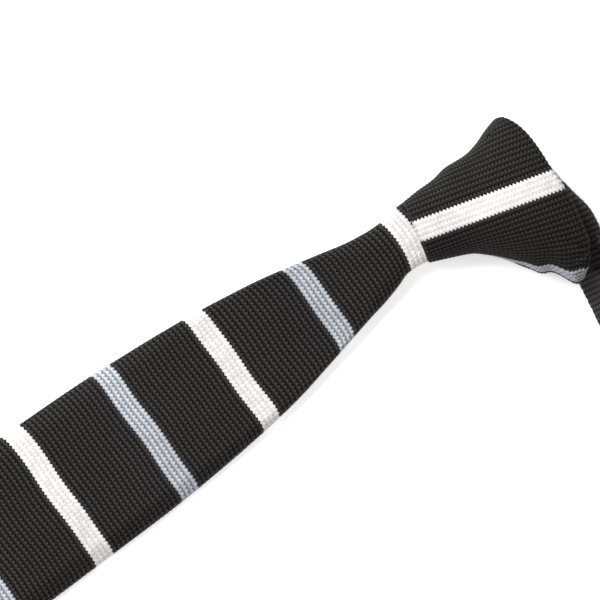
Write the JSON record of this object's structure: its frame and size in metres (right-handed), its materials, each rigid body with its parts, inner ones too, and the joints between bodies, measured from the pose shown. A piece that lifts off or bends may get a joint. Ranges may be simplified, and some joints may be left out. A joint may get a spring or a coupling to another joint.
{
  "type": "necktie",
  "caption": "Striped knitted necktie, already tied in a small knot, with a neck loop on its edge, a flat front blade and a narrower tail held in a keeper behind it.",
  "frame": {"origin": "under the middle of the whole object's box, on the surface that the tie lies on", "axes": "+X along the tie from the blade's square end towards the knot, +Z out of the tie's face"},
  "size_m": [0.5754, 0.1976, 0.0285],
  "materials": {
    "knit": "knitted",
    "lining": "brushed",
    "thread": "satin",
    "label": "satin"
  },
  "bodies": {
    "knot": {"knot_front_band": "knit", "knot_back_band": "knit", "knot_first_cross": "knit", "knot_over_pass": "knit", "tail_pass": "knit", "neck_leg_right": "knit", "neck_leg_left": "knit"},
    "front_blade": {"front_blade_cover": "knit", "front_blade_lining": "lining", "front_blade_slip_stitches": "thread", "keeper_loop": "knit", "keeper_stitches": "thread", "tail_throat": "knit"},
    "tail": {"tail_cover": "knit", "tail_lining": "lining", "tail_slip_stitches": "thread", "tail_hem": "knit", "tail_hem_stitches": "thread", "tail_bar_tack": "thread", "care_label": "label", "care_label_stitches": "thread"},
    "blade_end": {"blade_end_cover": "knit", "blade_end_lining": "lining", "blade_end_slip_stitches": "thread", "blade_end_hem": "knit", "blade_end_hem_stitches": "thread", "blade_end_bar_tack": "thread"},
    "neck_back": {"neck_band_cover": "knit", "neck_band_stay": "lining", "neck_slip_stitches": "thread", "neck_join_stitches": "thread"}
  },
  "joints": [
    {"name": "blade_lift", "type": "hinge", "parent": "knot", "child": "front_blade", "pos_m": [0.14647, 0.07129, 0.013], "axis": [0, 1, 0], "range_deg": [0, 75]},
    {"name": "blade_fold", "type": "hinge", "parent": "front_blade", "child": "blade_end", "pos_m": [-0.09283, 0.07129, 0.0064], "axis": [0, 1, 0], "range_deg": [0, 150]},
    {"name": "tail_slide", "type": "slide", "parent": "front_blade", "child": "tail", "axis": [-1, 0, 0], "range_m": [-0.04, 0.03], "deforming": ["tail_throat"]},
    {"name": "neck_cinch", "type": "slide", "parent": "knot", "child": "neck_back", "axis": [-0.5299, 0.848, 0], "range_m": [-0.0285, 0.0215], "deforming": ["neck_leg_right", "neck_leg_left"]}
  ],
  "couplings": [
    {"joint": "neck_cinch", "follows": "tail_slide", "ratio": 0.7071}
  ]
}
